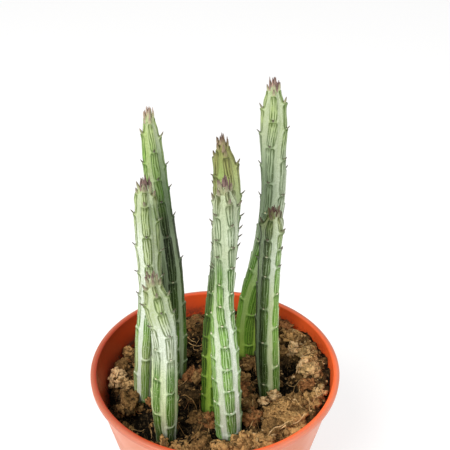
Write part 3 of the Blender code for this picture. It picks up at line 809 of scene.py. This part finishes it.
    def crown(self):
        """The youngest leaves, closed over the growing tip."""
        out = []
        light, dark, lift = self.spec["crown"]
        along, side, across = self.axes(self.top)
        for i in range(CROWN_LEAVES):
            angle = SPIRAL * i + self.rng.uniform(-0.3, 0.3)
            outer = i < OUTER_LEAVES
            away = math.cos(angle) * side + math.sin(angle) * across
            reach_out, sink = (1.6, 2.6) if outer else (0.6, 1.0)
            root = self.middle(self.top) + away * reach_out + along * (lift - sink)
            rise = math.radians(87 if outer else 89)
            reach = self.rng.uniform(3.4, 5.0) if outer else self.rng.uniform(2.6, 3.8)
            tone = self.rng.uniform(0.0, 0.75)
            pale = light * (1 - tone) + dark * tone
            colours = (pale, 0.7 * pale + 0.3 * dark, dark)
            out.append(awl(root, away, along, rise, 0.04, reach, 0.42, colours))
        return out


def awl(root, away, along, rise, bend, reach, wide, colours):
    """A curved pointed leaf with a swollen base, flattened a little, sunk into the stem."""
    sideways = np.cross(along, away)
    verts, shades = [], []
    spot = np.array(root, float)
    last = 0.0
    for share, size in AWL_STATIONS:
        tilt = rise + bend * max(share, 0.0)
        way = math.cos(tilt) * away + math.sin(tilt) * along
        spot = spot + way * (share - last) * reach
        last = share
        half = wide * size
        verts += circle(spot, half * sideways, 0.8 * half * np.cross(way, sideways), LEAF_SIDES)
        shades += [blend_three(colours, share)] * LEAF_SIDES
    verts += [root - away * 0.5, spot + way * (1 - last) * reach]
    shades += [colours[0], colours[2]]
    return np.array(verts), ring_faces(len(AWL_STATIONS), LEAF_SIDES), np.array(shades)


def blend_three(colours, share):
    base, middle, end = colours
    if share < 0.4:
        return base + (middle - base) * max(share, 0.0) / 0.4
    return middle + (end - middle) * (share - 0.4) / 0.6


def scar(root, away, along, colour, rng):
    """The low knob that a fallen leaf leaves."""
    sideways = np.cross(along, away)
    wide, high = rng.uniform(0.42, 0.62), rng.uniform(0.3, 0.45)
    verts = []
    for level, size in SCAR_STATIONS:
        half = wide * size
        verts += circle(root + away * high * level, half * sideways, 0.7 * half * along, LEAF_SIDES)
    shades = [colour] * (len(verts) + 1) + [colour * 0.55 + BARK * 0.45]
    verts += [root - away * 0.4, root + away * high]
    return np.array(verts), ring_faces(len(SCAR_STATIONS), LEAF_SIDES, True), np.array(shades)


def make_stem(name, spec, material):
    stem = Stem(name, spec)
    parts = [stem.body()]
    for points, facets, shades in stem.leaves() + stem.crown():
        rib = np.full((sum(len(f) for f in facets), 3), OFF_RIB)
        plain = np.zeros(len(points))
        parts.append((points, facets, rib, shades, shades * 0.6, plain, plain + 1))
    faces, start = [], 0
    for part in parts:
        faces += [tuple(i + start for i in f) for f in part[1]]
        start += len(part[0])
    layers = [np.concatenate([part[i] for part in parts]) for i in (0, 2, 3, 4, 5, 6)]
    verts, rib, skin, patch, lined, window = layers
    obj = write_mesh(name + "_body", verts, faces)
    layer = obj.data.attributes.new("rib", "FLOAT_VECTOR", "CORNER")
    layer.data.foreach_set("vector", rib.astype(np.float32).ravel())
    colour_layer(obj, "skin", skin)
    colour_layer(obj, "patch", patch)
    number_layer(obj, "lined", lined)
    number_layer(obj, "window", window)
    obj.data.materials.append(material)
    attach(obj, BODY)
    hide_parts(name)


def wall_radius(z):
    """The outer face of the pot's wall at a height."""
    return RIM_RADIUS - LIP_OUT - (POT_HEIGHT - LIP_HEIGHT - z) * math.tan(WALL_TAPER)


def arc(cx, cz, radius, start, end, steps):
    turn = [math.radians(start + (end - start) * i / steps) for i in range(steps + 1)]
    return [(cx + radius * math.cos(a), cz + radius * math.sin(a)) for a in turn]


def between(a, b, steps):
    """Points after a up to b."""
    return [(a[0] + (b[0] - a[0]) * i / steps, a[1] + (b[1] - a[1]) * i / steps) for i in range(1, steps + 1)]


def pot_finish():
    g = Graph("pot_plastic_skin", 0.4)
    base = g.layer("tint")
    where = g.place()
    cloud = g.noise(where, 14.0, 3.0)
    grain = g.noise(where, 0.7, 2.0)
    dust_and_shade = g.layer("dust_and_shade", "Fac")
    colour = g.mix(g.ease(cloud, 0.35, 0.7, 0.0, 0.12), base, linear(150, 44, 16))
    # Dust smeared near the soil, partly painted shade that is strongest on the left of the inner wall.
    smear_and_shade = g.mul(dust_and_shade, g.ease(g.noise(where, 2.2, 4.0, 0.65), 0.42, 0.62))
    colour = g.mix(smear_and_shade, colour, linear(58, 34, 22))
    g.bump(g.add(g.mul(cloud, 2.0), g.mul(grain, 0.25)), 0.12, 0.5)
    g.set(Specular_IOR_Level=0.5)
    g.set(Subsurface_Weight=0.2, Subsurface_Radius=(1.0, 0.35, 0.15), Subsurface_Scale=2 * MM)
    return g.finish(colour, g.ease(g.add(cloud, g.mul(smear_and_shade, 0.6)), 0.2, 1.0, 0.34, 0.6))


def make_pot():
    inner = WALL / math.cos(WALL_TAPER)
    lip_low = POT_HEIGHT - LIP_HEIGHT
    low_in = (wall_radius(FLOOR + BASE_ROUND) - inner, FLOOR + BASE_ROUND)
    high_in = (wall_radius(lip_low) - inner, lip_low)
    lip_in = (wall_radius(lip_low) - inner + 0.25, POT_HEIGHT - 0.55)
    foot = wall_radius(BASE_ROUND) - BASE_ROUND
    under_lip = arc(wall_radius(lip_low) + 0.35, lip_low - 0.35, 0.35, 90, 165, 3)
    profile = [(8.0, FLOOR), (18.0, FLOOR)]
    profile += between(profile[-1], (low_in[0] - BASE_ROUND, FLOOR), 3)
    profile += arc(low_in[0] - BASE_ROUND, FLOOR + BASE_ROUND, BASE_ROUND, -60, 0, 3)
    profile += between(low_in, high_in, 30) + between(high_in, lip_in, 2)
    profile += arc(lip_in[0] + 0.55, POT_HEIGHT - 0.55, 0.55, 160, 90, 4)
    profile += arc(RIM_RADIUS - 0.6, POT_HEIGHT - 0.6, 0.6, 90, 0, 5)
    profile += between((RIM_RADIUS, POT_HEIGHT - 0.6), (RIM_RADIUS - 0.1, lip_low + 0.45), 2)
    profile += arc(RIM_RADIUS - 0.55, lip_low + 0.45, 0.45, -10, -90, 3)
    profile += under_lip + between(under_lip[-1], (wall_radius(BASE_ROUND), BASE_ROUND), 30)
    profile += arc(foot, BASE_ROUND, BASE_ROUND, -15, -90, 4)
    profile += between((foot, 0.0), (0.0, 0.0), 3)
    rows = np.array(profile[:-1])
    angles = math.tau * np.arange(POT_SIDES) / POT_SIDES
    x, y = rows[:, :1] * np.cos(angles), rows[:, :1] * np.sin(angles)
    z = np.repeat(rows[:, 1:], POT_SIDES, axis=1)
    verts = np.stack([x, y, z], axis=-1).reshape(-1, 3)
    verts = np.concatenate([verts, [(0, 0, FLOOR), (0, 0, 0)]])
    pot = write_mesh("pot_shell", verts, ring_faces(len(rows), POT_SIDES, True))
    drains = []
    for i in range(DRAIN_COUNT):
        a = math.tau * (i + 0.5) / DRAIN_COUNT
        drains.append(drill(DRAIN_RING * math.cos(a), DRAIN_RING * math.sin(a), -1, FLOOR + 1, DRAIN_RADIUS))
    subtract(pot, drains)
    pot.data.shade_smooth()
    pot.data.set_sharp_from_angle(angle=math.radians(50))
    paint_pot(pot)
    pot.data.materials.clear()
    pot.data.materials.append(pot_finish())
    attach(pot, BODY)
    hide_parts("pot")


def paint_pot(pot):
    """Deep orange inside, redder and darker to the left with painted shade that deepens low near the soil,
    and brighter to the right with painted light; painted lighter outside and along the lip, the lip graded
    lighter to the right.
    """
    co = np.array([v.co for v in pot.data.vertices]) / MM
    r, z = np.hypot(co[:, 0], co[:, 1]), co[:, 2]
    middle = wall_radius(z) - 0.5 * WALL
    outside = step_between(-0.2, 0.3, r - middle)[:, None]
    lip = step_between(POT_HEIGHT - LIP_HEIGHT - 0.1, POT_HEIGHT - LIP_HEIGHT + 0.3, z)[:, None]
    # Painted light: the outer wall and the lip are painted paler than the orange inside, and the lip grows
    # lighter to the right.
    lit_outside, edge = linear(214, 133, 101), linear(205, 117, 87)
    soil = SOIL_LEVEL + SOIL_RISE_RIGHT * co[:, 0] + SOIL_RISE_BACK * co[:, 1]
    # Painted shade and light: the inner wall is redder and darker to the left, darker still low near the
    # soil, and brighter to the right.
    left = step_between(30.0, -30.0, co[:, 0])
    deep = linear(240, 98, 40) * (1 - left[:, None]) + linear(252, 88, 32) * left[:, None]
    painted_light_and_shade = 1 - 0.56 * step_between(14.0, -42.0, co[:, 0]) + 0.25 * step_between(10.0, 45.0, co[:, 0])
    painted_light_and_shade *= 1 - 0.4 * left * step_between(9.0, 1.0, z - soil)
    lip_light_slant = 1 + 0.12 * co[:, :1] / RIM_RADIUS
    tint = deep * painted_light_and_shade[:, None] * (1 - outside) + (lit_outside * (1 - lip) + edge * lip_light_slant * lip) * outside
    colour_layer(pot, "tint", tint)
    # Soil dust on the inner wall just above the soil, with painted shade: it reaches higher and is stronger
    # to the left, where the wall is in shade.
    dust_and_shade = step_between(2.0 + 3.5 * left, 0.0, z - soil) * (1 - outside[:, 0]) * (0.25 + 0.75 * left)
    number_layer(pot, "dust_and_shade", dust_and_shade)


def drill(x, y, low, high, radius):
    bm = bmesh.new()
    place = Matrix.Translation((x * MM, y * MM, (low + high) / 2 * MM))
    bmesh.ops.create_cone(
        bm, cap_ends=True, segments=DRILL_SIDES, radius1=radius * MM, radius2=radius * MM,
        depth=(high - low) * MM, matrix=place,
    )
    return from_bmesh("drill", bm)


def subtract(obj, tools):
    group = bpy.data.collections.new("tools")
    bpy.context.scene.collection.children.link(group)
    for tool in tools:
        bpy.context.scene.collection.objects.unlink(tool)
        group.objects.link(tool)
    step = obj.modifiers.new("cut", "BOOLEAN")
    step.operation = "DIFFERENCE"
    step.operand_type = "COLLECTION"
    step.collection = group
    step.solver = "EXACT"
    evaluated = obj.evaluated_get(bpy.context.evaluated_depsgraph_get())
    made = bpy.data.meshes.new_from_object(evaluated)
    obj.modifiers.clear()
    obj.data = made
    for tool in tools:
        bpy.data.objects.remove(tool, do_unlink=True)
    bpy.data.collections.remove(group)


def soil_level(x, y):
    tilt = SOIL_RISE_RIGHT * x + SOIL_RISE_BACK * y
    edge = SOIL_RISE_EDGE * (math.hypot(x, y) / RIM_RADIUS) ** 3
    return SOIL_LEVEL + tilt + edge


STEM_FEET = tuple((spec["line"][0][1], spec["line"][0][2], spec["girth"][0][1]) for spec in STEMS.values())


def soil_height(x, y):
    spot = Vector((x, y, 0.0))
    rough = 1.1 * noise.noise(spot / 9.0)
    rough += 1.0 * noise.noise((spot + Vector((0, 0, 20.0))) / 4.0)
    rough += 0.9 * noise.noise((spot + Vector((9, 3, 7))) / 2.0)
    rough += 0.55 * noise.noise((spot + Vector((5, 1, 9))) / 0.95)
    hollow = 0.0
    for fx, fy, r in STEM_FEET:
        gap = max(math.hypot(x - fx, y - fy) - r, 0.0)
        wide = 2.2 + 1.4 * noise.noise(spot / 5.0 + Vector((fx, fy, 3.0)))
        hollow = max(hollow, 2.6 * math.exp(-((gap / wide) ** 2)))
    for hx, hy, wide, deep in HOLLOWS:
        gap = math.hypot(x - hx, y - hy) / (wide * (1 + 0.3 * noise.noise(spot / 3.0)))
        hollow = max(hollow, deep * math.exp(-(gap ** 2)))
    return soil_level(x, y) + rough - hollow - 0.7


def soil_finish():
    """Crumbs of light and dark mix at three sizes, over the colour that each body has; the colour follows the
    bump, partly the mix's own crumbs and partly painted highlight on raised bits and painted shade in the
    dips.
    """
    g = Graph("potting_mix", 0.95)
    base = g.layer("tint")
    where = g.place()
    clump = g.noise(where, 2.3, 4.0, 0.6)
    crumb = g.noise(g.place((1.0, 0.7, 0.9)), 0.95, 4.0, 0.7)
    speck = g.noise(where, 0.5, 2.0, 0.6)
    dark = g.mix(1.0, base, (0.34, 0.31, 0.27), "MULTIPLY")
    pale = g.mix(0.2, g.mix(1.0, base, (1.9, 1.8, 1.65), "MULTIPLY"), STRAW)
    # Painted highlight and shade in part: low bumps are darkened and raised ones lightened.
    colour = g.mix(g.ease(clump, 0.49, 0.35, 0.0, 0.8), base, dark)
    colour = g.mix(g.ease(crumb, 0.53, 0.64, 0.0, 0.75), colour, pale)
    colour = g.mix(g.ease(crumb, 0.46, 0.37, 0.0, 0.75), colour, dark)
    colour = g.mix(g.ease(speck, 0.6, 0.7, 0.0, 0.55), colour, pale)
    colour = g.mix(g.ease(speck, 0.4, 0.3, 0.0, 0.6), colour, HUMUS)
    height = g.add(clump, g.add(g.mul(crumb, 0.8), g.mul(speck, 0.25)))
    g.bump(height, 0.65)
    g.set(Specular_IOR_Level=0.1)
    return g.finish(colour)


def fill_radius(z):
    return wall_radius(z) - WALL / math.cos(WALL_TAPER) - CLEARANCE


def edge_radius(a):
    """How far the soil's top reaches, where the pot narrows towards a lower edge."""
    reach = fill_radius(SOIL_LEVEL)
    return fill_radius(soil_level(reach * math.cos(a), reach * math.sin(a)))


def dryness(x, y):
    """From the damp middle and left to the dry right and front right."""
    return float(step_between(-8.0, 30.0, x - 0.3 * y))


def ground():
    """The filling: an uneven top, fine near the eye, and plain sides and floor against the pot."""
    rings, sides = 130, 320
    verts = []
    for i in range(1, rings + 1):
        for k in range(sides):
            a = math.tau * k / sides
            r = edge_radius(a) * i / rings
            x, y = r * math.cos(a), r * math.sin(a)
            shrunk = 1.5 + 1.2 * noise.noise(Vector((x, y, 50.0)) / 6.0)
            shrunk *= step_between(4.0, 0.3, edge_radius(a) - r)
            verts.append((x, y, soil_height(x, y) - shrunk))
    low = FLOOR + CLEARANCE
    for r, z in ((fill_radius(low + BASE_ROUND), low + BASE_ROUND), (fill_radius(low) - BASE_ROUND, low)):
        verts += circle(np.array((0, 0, z)), np.array((r, 0, 0)), np.array((0, r, 0)), sides)
    verts += [(0, 0, soil_height(0, 0)), (0, 0, low)]
    faces = ring_faces(rings + 2, sides, True)
    verts = np.array(verts, float)
    level = np.array([soil_level(x, y) for x, y, _ in verts])
    # Painted shade: the ground turns nearly black where it sinks below the soil level into the hollows.
    depth = step_between(-2.4, 0.5, verts[:, 2] - level)[:, None]
    dry = np.array([dryness(x, y) for x, y, _ in verts])
    patchy = np.clip(lumpy(verts, 5.0, 4.0) * 0.7 + 0.2 + 0.5 * dry, 0, 1)[:, None]
    tint = 0.35 * HUMUS * (1 - depth) + (PEAT * (1 - patchy) + UMBER * patchy) * depth
    return verts, faces, tint


BALLS = {}


def ball(detail):
    """Points and faces of a round ball of triangles."""
    if detail not in BALLS:
        bm = bmesh.new()
        bmesh.ops.create_icosphere(bm, subdivisions=detail, radius=1.0)
        faces = [tuple(v.index for v in f.verts) for f in bm.faces]
        BALLS[detail] = (np.array([v.co for v in bm.verts]), faces)
        bm.free()
    return BALLS[detail]


def clod(rng, detail, centre, size, rough):
    """A crumbly lump: a ball pushed in and out at several scales, then stretched and turned."""
    points, faces = ball(detail)
    seed = rng.uniform(0, 90)
    push = 1 + rough * lumpy(points, 0.9, seed)
    if detail > 1:
        push += 0.6 * rough * lumpy(points, 0.42, seed + 1)
    if detail > 2:
        push += 0.36 * rough * lumpy(points, 0.2, seed + 2)
    if detail > 3:
        push += 0.2 * rough * lumpy(points, 0.1, seed + 3)
    shape = points * push[:, None] * np.array(size)
    turn = Matrix.Rotation(rng.uniform(0, math.tau), 3, "Z") @ Matrix.Rotation(rng.uniform(-0.4, 0.4), 3, "X")
    return shape @ np.array(turn).T + np.array(centre), faces


def clear_of_wall(points):
    """The points, drawn in where they would reach the pot's wall."""
    reach = np.maximum(np.hypot(points[:, 0], points[:, 1]), 1e-6)
    share = np.minimum(1.0, fill_radius(points[:, 2]) / reach)
    return points * np.stack([share, share, np.ones_like(share)], axis=1)


class Heap:
    """Loose bodies gathered into one mesh."""

    def __init__(self):
        self.verts, self.faces, self.tints, self.start = [], [], [], 0

    def put(self, verts, faces, tint):
        verts = clear_of_wall(np.asarray(verts, float))
        self.verts.append(verts)
        self.faces += [tuple(i + self.start for i in f) for f in faces]
        self.tints.append(np.broadcast_to(tint, (len(verts), 3)))
        self.start += len(verts)

    def tree(self):
        return BVHTree.FromPolygons([tuple(v) for v in np.concatenate(self.verts)], self.faces)

    def write(self, name, material, replaces=None):
        obj = write_mesh(name, np.concatenate(self.verts), self.faces)
        colour_layer(obj, "tint", np.concatenate(self.tints))
        obj.data.materials.append(material)
        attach(obj, BODY)
        if replaces:
            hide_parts(replaces)


def top_at(trees, x, y):
    """The height of what lies uppermost at a place."""
    best = -1.0
    for tree in trees:
        hit = tree.ray_cast(Vector((x, y, 120.0)), Vector((0, 0, -1)))
        if hit[0] is not None:
            best = max(best, hit[0].z)
    return best


MIX = ((0.2, HUMUS), (0.48, PEAT), (0.76, UMBER), (0.82, RUST), (1.12, OCHRE), (1.26, STRAW), (9, CHIP))


def mix_tint(rng, x, y):
    """A colour for a crumb: lighter where the mix is dry."""
    r = rng.random() + 0.34 * dryness(x, y)
    tone = next(tone for limit, tone in MIX if r < limit)
    return tone * rng.uniform(0.75, 1.1)


def random_spot(rng, margin):
    a = rng.uniform(0, math.tau)
    r = (edge_radius(a) - margin) * math.sqrt(rng.random())
    return r * math.cos(a), r * math.sin(a)


def near_stem(x, y, gap):
    return any(math.hypot(x - fx, y - fy) < r + gap for fx, fy, r in STEM_FEET)


def local_tint(rng, x, y):
    """A crumb's colour: that of the lump it lies on, or of the mix around it."""
    for lx, ly, wide, _, tone in LUMPS:
        if math.hypot(x - lx, y - ly) < 0.85 * wide and rng.random() < 0.8:
            return tone * rng.uniform(0.65, 1.25)
    return mix_tint(rng, x, y)


def in_hollow(x, y, gap):
    return any(math.hypot(x - hx, y - hy) < 0.75 * wide + gap for hx, hy, wide, _ in HOLLOWS)


def make_soil():
    rng = random.Random(SOIL_SEED)
    material = soil_finish()
    base = Heap()
    base.put(*ground())
    trees = [base.tree()]

    lumps = Heap()
    for x, y, wide, high, tone in LUMPS:
        size = (0.9 * wide, 0.9 * wide * rng.uniform(0.75, 0.95), 1.15 * high)
        tint = tone * rng.uniform(0.95, 1.15) * (1 + 0.15 * dryness(x, y))
        rough = 0.75 if wide > 2.5 else 1.1
        lumps.put(*clod(rng, 4, (x, y, soil_level(x, y) - 0.05 * high), size, rough), tint)
    trees.append(lumps.tree())
    placed = 0
    pieces = Heap()
    while placed < PIECES:
        x, y = random_spot(rng, 3.0)
        wide = rng.uniform(1.1, 2.6)
        if near_stem(x, y, 0.5 * wide) or in_hollow(x, y, 0.3 * wide):
            continue
        z = top_at(trees, x, y)
        size = (wide, wide * rng.uniform(0.6, 0.9), wide * rng.uniform(0.5, 0.75))
        pieces.put(*clod(rng, 3, (x, y, z), size, 0.75), local_tint(rng, x, y))
        placed += 1
    trees.append(pieces.tree())
    base.write("soil_ground", material, "soil")
    lumps.write("soil_lumps", material)
    pieces.write("soil_pieces", material)

    crumbs = Heap()
    for i in range(CRUMBS):
        x, y = random_spot(rng, 1.8)
        fine = i >= COARSE_CRUMBS
        wide = rng.uniform(0.3, 0.7) if fine else rng.uniform(0.6, 1.3)
        if near_stem(x, y, 0.3 * wide) or in_hollow(x, y, 0.0):
            continue
        z = top_at(trees, x, y)
        size = (wide, wide * rng.uniform(0.5, 0.9), wide * rng.uniform(0.4, 0.8))
        detail = 1 if fine else 2
        crumbs.put(*clod(rng, detail, (x, y, z + 0.2 * wide), size, 0.9), local_tint(rng, x, y))
    crumbs.write("soil_crumbs", material)

    fibres = Heap()
    for x, y, heading, length, thick in STRAWS:
        fibres.put(*strand(rng, trees, x, y, heading, length, thick), CHIP)
    for _ in range(ROOTS):
        x, y = random_spot(rng, 3.0)
        length = rng.uniform(3.0, 11.0)
        fibre = strand(rng, trees, x, y, rng.uniform(0, math.tau), length, rng.uniform(0.09, 0.2))
        if fibre:
            tone = rng.choice((UMBER, OCHRE, STRAW, PEAT, STRAW, RUST))
            fibres.put(*fibre, tone * rng.uniform(0.8, 1.1))
    fibres.write("soil_fibres", material)


def strand(rng, trees, x, y, heading, length, thick):
    """A thin root or straw that follows the surface it lies on."""
    steps, sides = 9, 5
    path = []
    curl = rng.uniform(-0.12, 0.12)
    for i in range(steps + 1):
        if math.hypot(x, y) > edge_radius(math.atan2(y, x)) - 1.0 or near_stem(x, y, 0.3):
            break
        path.append((x, y, top_at(trees, x, y) + thick))
        heading += curl + rng.uniform(-0.15, 0.15)
        x += math.cos(heading) * length / steps
        y += math.sin(heading) * length / steps
    if len(path) < 5:
        return None
    spots = np.array(path)
    lifted = spots.copy()
    lifted[1:-1, 2] = np.maximum(spots[1:-1, 2], (spots[:-2, 2] + spots[2:, 2]) / 2)
    along = np.gradient(lifted, axis=0)
    along /= np.linalg.norm(along, axis=1, keepdims=True)
    side = np.cross(along, (0, 0, 1.0))
    side /= np.linalg.norm(side, axis=1, keepdims=True)
    over = np.cross(side, along)
    verts = []
    last = len(lifted) - 1
    for i in range(last + 1):
        size = thick * (0.35 if i in (0, last) else 1.0)
        verts += circle(lifted[i], size * side[i], size * over[i], sides)
    faces = ring_faces(last + 1, sides, capped=False)
    faces += [list(reversed(range(sides))), list(range(last * sides, len(verts)))]
    return np.array(verts), faces


# Camera and light
RIM_DISTANCE = 6.566 * RIM_RADIUS
VIEW_FROM = math.radians(41.31)
FOCAL = 800.0
FRAME = 450.0
PITCH = VIEW_FROM - math.atan((363.4 - FRAME / 2) / FOCAL)
YAW = math.atan((215.2 - FRAME / 2) / FOCAL)
SKY = 0.62
FLOOR_GLOW = 0.56


def make_camera():
    data = bpy.data.cameras.new("camera")
    data.sensor_width = 36.0
    data.lens = FOCAL / FRAME * data.sensor_width
    data.clip_start = 0.01
    camera = linked("camera", data)
    away = RIM_DISTANCE * math.cos(VIEW_FROM)
    camera.location = (0, -away * MM, (POT_HEIGHT + RIM_DISTANCE * math.sin(VIEW_FROM)) * MM)
    turn = Matrix.Rotation(math.pi / 2 - PITCH, 4, "X") @ Matrix.Rotation(YAW, 4, "Y")
    camera.rotation_euler = turn.to_euler()
    bpy.context.scene.camera = camera


def area_light(name, place, aim, size, power, colour=(1, 1, 1)):
    data = bpy.data.lights.new(name, "AREA")
    data.shape = "DISK"
    data.size = size
    data.energy = power
    data.color = colour
    light = linked(name, data)
    light.location = place
    way = Vector(aim) - Vector(place)
    light.rotation_euler = way.to_track_quat("-Z", "Y").to_euler()


def make_stage():
    world = bpy.data.worlds.new("studio")
    world.use_nodes = True
    sky = world.node_tree.nodes["Background"]
    sky.inputs["Color"].default_value = (1.0, 1.0, 1.0, 1.0)
    sky.inputs["Strength"].default_value = SKY
    bpy.context.scene.world = world
    area_light("key", (-0.45, -0.55, 0.85), (0, 0, 0.1), 0.6, 9.0, (1.0, 0.985, 0.96))
    area_light("fill", (0.7, -0.35, 0.5), (0, 0, 0.1), 0.8, 2.0)
    bpy.context.scene.view_settings.view_transform = "Standard"

    bm = bmesh.new()
    bmesh.ops.create_circle(bm, cap_ends=True, segments=96, radius=4.0)
    floor = from_bmesh("floor", bm)
    paper = Graph("floor_paper", 0.9)
    paper.set(Emission_Color=(1.0, 1.0, 1.0, 1.0), Emission_Strength=FLOOR_GLOW)
    floor.data.materials.append(paper.finish((0.5, 0.5, 0.5)))


make_camera()
make_stage()
make_pot()
make_soil()
skin = stem_finish()
for stem_name, stem_spec in STEMS.items():
    make_stem(stem_name, stem_spec, skin)
